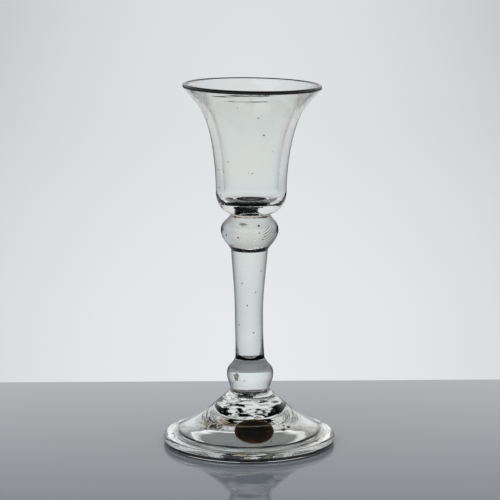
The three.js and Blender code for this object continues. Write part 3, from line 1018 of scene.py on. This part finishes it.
foot = turned(
    "conical_foot",
    sheet,
    [foot_glass, fused, line_glass, mouth_glass, crevice_glass, seed_glass],
    joints=[from_axis(FOOT_END), from_axis(SCAR_END), fold_joint],
    finish=sheet_finish,
    bubbles=seeds(cone_curve, 0, [
        (14.2, 8.3, 0.75, 0.35), (12.4, 8.9, 0.45, 0.25), (24.6, 3.3, 0.7, 0.4), (25.2, 5.2, 0.4, 0.3),
        (-28.2, 3.4, 0.6, 0.35), (-16.0, 7.6, 0.3, 0.2), (-9.5, 8.4, 0.35, 0.2), (8.0, 5.6, 0.3, 0.2),
    ], depth=1.9),
    shape=foot_work,
)
fold = turned(
    "folded_edge",
    edge,
    [fold_glass, fused, line_glass],
    joints=[fold_joint],
    finish=edge_finish,
    closed=True,
)


def scar_section():
    """Flat underside and upright side of the stub that the pontil rod left, before it is chipped."""
    under = np.linspace((0, SCAR_LEVEL), (SCAR_RADIUS, SCAR_LEVEL), 64)
    side = np.linspace(under[-1], SCAR_END, 6)
    return joined(under, side, (0, PAD_LEVEL))


def scallops(x, y):
    """Conchoidal chips, 0 to about 1: the least of many bowls, each a constant plus distance squared."""
    rng = np.random.default_rng(SCALLOP_SEED)
    reach = 1.1 * SCAR_RADIUS
    place = rng.uniform(-reach, reach, (SCALLOPS, 2))
    start = rng.uniform(0, 0.5, SCALLOPS)
    spread = rng.uniform(*SCALLOP_SPREAD, SCALLOPS)
    away = (x[..., None] - place[:, 0]) ** 2 + (y[..., None] - place[:, 1]) ** 2
    return np.min(start + away / spread**2, axis=-1)


def chipped(r, z, bearing):
    """Breaks the stub: scallops cut into it from below, deepest in its middle and least in a raised ring.

    The ring is a bell curve of the radius. The side is drawn in where the outline is broken off. Nothing
    moves on the joint.
    """
    share = (PAD_LEVEL - z) / (PAD_LEVEL - SCAR_LEVEL)
    out = r / SCAR_RADIUS
    ring = np.exp(-(((out - SCAR_RING) / SCAR_RING_WIDTH) ** 2)) * (0.7 + 0.3 * np.sin(2 * bearing + 0.7))
    chips = np.clip(scallops(r * np.cos(bearing), r * np.sin(bearing)), 0, 1)
    left = np.clip(0.30 + 0.55 * ring + 0.45 * chips, 0.15, 1.0)
    broken_off = share * out**6 * (0.5 + 0.5 * np.sin(5 * bearing + 2 * np.sin(3 * bearing)))
    return r * (1 - SIDE_LOSS * broken_off), PAD_LEVEL - (PAD_LEVEL - z) * left


scar = turned("broken_scar", scar_section(), [broken_glass(), fused], [from_axis(SCAR_END)], shape=chipped)


# Label


def label_object():
    """Oval laid on the cone: one coordinate runs down the slope, by its arc length, and one round it.

    The crease is a raised bell curve across the oval, and the edge is rounded off by a high power of the
    share of the way out.
    """
    rings, steps = 14, 96
    share = np.linspace(0, 1, rings + 1)[1:, None]
    angle = np.linspace(0, 2 * np.pi, steps, endpoint=False)[None, :]
    lengths = np.concatenate([[0], np.cumsum(np.linalg.norm(np.diff(cone_curve, axis=0), axis=1))])
    centre = np.interp(FOOT_RADIUS - LABEL_FROM_EDGE, cone_curve[:, 0], lengths)
    table = np.hstack([cone_curve, np.gradient(cone_curve, lengths, axis=0)]).T

    def laid(share, angle, lift):
        down = centre - LABEL_LENGTH / 2 * share * np.sin(angle)
        r, z, step_r, step_z = (np.interp(down, lengths, column) for column in table)
        bearing = LABEL_BEARING + LABEL_WIDTH / 2 * share * np.cos(angle) / r
        r = r * unevenness(bearing, z) - step_z * lift
        return np.stack([r * np.cos(bearing), r * np.sin(bearing), z + step_r * lift], axis=-1)

    off = (share * np.sin(angle) - CREASE_AT) / CREASE_WIDTH
    crease = CREASE_HEIGHT * np.exp(-(off**2)) * (share < 0.95)
    edge_drop = 0.5 * LABEL_THICKNESS * share**24
    upper = laid(share, angle, LABEL_CLEARANCE + LABEL_THICKNESS - edge_drop + crease)
    lower = laid(share[::-1], angle, np.full((rings, steps), LABEL_CLEARANCE))
    grid = np.concatenate([upper, lower]).reshape(-1, 3)
    lifts = np.array([[LABEL_CLEARANCE + LABEL_THICKNESS], [LABEL_CLEARANCE]])
    points = np.concatenate([grid, laid(np.zeros((2, 1)), np.zeros((2, 1)), lifts).reshape(-1, 3)])
    faces = [face[::-1] for face in ring_faces(2 * rings, steps)]
    sides = np.repeat([0, 1, 0, 1], (rings * steps, (rings - 1) * steps, steps, steps))
    made = make_object("oval_paper_label", points, faces, sides, [label_paper(), label_back()])
    flat = np.stack([share * np.cos(angle), share * np.sin(angle), share + 0 * angle], axis=-1)
    oval = np.concatenate([flat.reshape(-1, 3), flat[::-1].reshape(-1, 3), np.zeros((2, 3))])
    made.data.attributes.new("place", "FLOAT_VECTOR", "POINT").data.foreach_set("vector", oval.ravel())
    return made


label = label_object()

for piece, node, slot in (
    (bowl, "bowl", "clear_glass"),
    (upper_knop, "upper_knop", "clear_glass"),
    (stem, "stem", "clear_glass"),
    (lower_knop, "lower_knop", "clear_glass"),
    (foot, "foot", "clear_glass"),
    (fold, "foot_fold", "clear_glass"),
    (scar, "pontil_scar", "broken_glass"),
    (label, "oval_label", "label_paper"),
):
    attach(piece, "root")
    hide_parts(node)


# Stage, light and camera


def slab_material():
    """Glossy grey slab with painted light: paler towards its back edge and where glass shows it, palest and
    glowing under the foot.
    """
    material, tree, shader = new_material("polished slab")
    place = here(tree)
    through = add(tree, "LightPath").outputs["Is Transmission Ray"]
    away = length(tree, place)
    # Painted light falloff: the slab darker towards its front
    depth = ranged(tree, split(tree, place)["Y"], -SLAB_BACK, SLAB_BACK)
    plain = mixed(tree, depth, SLAB_FRONT_SHADE, SLAB_BACK_SHADE)
    # Painted light: the slab paler where glass shows it, and more so under the foot
    near = stepped(tree, away, FOOT_RADIUS * 1.12, FOOT_RADIUS * 0.95)
    lit = mixed(tree, near, THROUGH_SHADE, UNDER_FOOT_SHADE)
    streaks = mapped(tree, place, Scale=(70, 260, 1))
    grain = noise(tree, streaks, 1.0, 5.0, Roughness=0.7, Distortion=0.8)
    # Painted glow under the foot, streaked, only for rays through glass
    under = ramped(tree, ranged(tree, away, 0.0, GLOW_REACH), GLOW_STOPS, "EASE")
    glow = times(tree, times(tree, under, ranged(tree, grain, 0.36, 0.62, 0.35, 1.2)), near)
    haze = ranged(tree, noise(tree, place, 30.0, 3.0), 0.0, 1.0, 0.03, 0.09)
    hidden = stepped(tree, away, 24 * MM, 19 * MM)
    matt = add(tree, "Mix", data_type="FLOAT", Factor=hidden, A=haze, B=0.5)
    set_inputs(
        tree, shader,
        Base_Color=mixed(tree, through, plain, lit),
        Emission_Color=mixed(tree, through, 0.0, glow),
        Emission_Strength=1.0,
        Roughness=matt.outputs["Result"],
        IOR=1.6,
    )
    return material


def slab():
    """Flat slab that the glass stands on, its back edge just behind the glass."""
    x, front, back = SLAB_HALF_WIDTH, -SLAB_FRONT, SLAB_BACK
    edge = [(-x, front), (x, front), (x, back + SLAB_SKEW), (-x, back - SLAB_SKEW)]
    points = np.array([(*corner, z) for z in (-SLAB_DROP, -SLAB_THICKNESS) for corner in edge])
    faces = [[0, 1, 2, 3], [7, 6, 5, 4], [0, 4, 5, 1], [1, 5, 6, 2], [2, 6, 7, 3], [3, 7, 4, 0]]
    made = make_object("slab", points, faces, [0] * 6, [slab_material()])
    made.data.polygons.foreach_set("use_smooth", np.zeros(6, dtype=bool))
    return made


slab()


def sky(tree, height, stops):
    """Colour by height, 0 straight down and 1 straight up: stops are pairs of degrees and colour."""
    return ramped(tree, height, [(0.5 + 0.5 * np.sin(np.radians(up)), shade) for up, shade in stops])


def studio_world():
    """Pale backdrop all round, with a level of its own for each kind of ray.

    To both sides it falls off for the camera alone, by a factor times the sideways direction squared,
    down to a limit. The factor is larger above the slab's edge.
    """
    world = bpy.data.worlds.new("studio")
    world.use_nodes = True
    tree = world.node_tree
    direction = split(tree, add(tree, "TexCoord").outputs["Generated"])
    height = ranged(tree, direction["Z"], -1.0, 1.0)
    fall = ranged(tree, direction["Z"], *np.sin(np.radians(FALL_HEIGHTS)).tolist(), *FALL_FACTORS)
    less = product(tree, product(tree, direction["X"], direction["X"]), fall)
    falloff = calc(tree, "MAXIMUM", calc(tree, "SUBTRACT", 1.0, less), LEAST_FALLOFF)
    rays = add(tree, "LightPath").outputs
    shown = mixed(tree, rays["Is Glossy Ray"], MATT_LEVEL, sky(tree, height, GLOSS_SKY))
    shown = mixed(tree, rays["Is Transmission Ray"], shown, sky(tree, height, THROUGH_SKY))
    shown = mixed(tree, rays["Is Camera Ray"], shown, times(tree, sky(tree, height, BACKDROP), falloff))
    set_inputs(tree, tree.nodes["Background"], Color=shown)
    bpy.context.scene.world = world


def soft_lamp():
    """Square soft lamp above and in front of the glass, on its left, left out of reflections."""
    data = bpy.data.lights.new("overhead softbox", "AREA")
    data.size = LAMP_SIZE
    data.energy = LAMP_POWER
    lamp = placed("overhead softbox", data)
    lamp.location = LAMP_PLACE
    lamp.rotation_euler = np.radians(LAMP_TURN)
    lamp.visible_glossy = False


def camera():
    """Camera at the photograph's viewing angle, a little above the rim."""
    data = bpy.data.cameras.new("camera")
    data.lens = CAMERA_LENS
    data.clip_start = 0.01
    made = placed("camera", data)
    made.location = CAMERA_PLACE
    made.rotation_euler = (CAMERA_PITCH, 0, 0)
    bpy.context.scene.camera = made


studio_world()
soft_lamp()
camera()
bpy.context.scene.view_settings.view_transform = "Standard"

cycles = bpy.context.scene.cycles
cycles.max_bounces = 24
cycles.transmission_bounces = 20
cycles.glossy_bounces = 12
cycles.transparent_max_bounces = 24
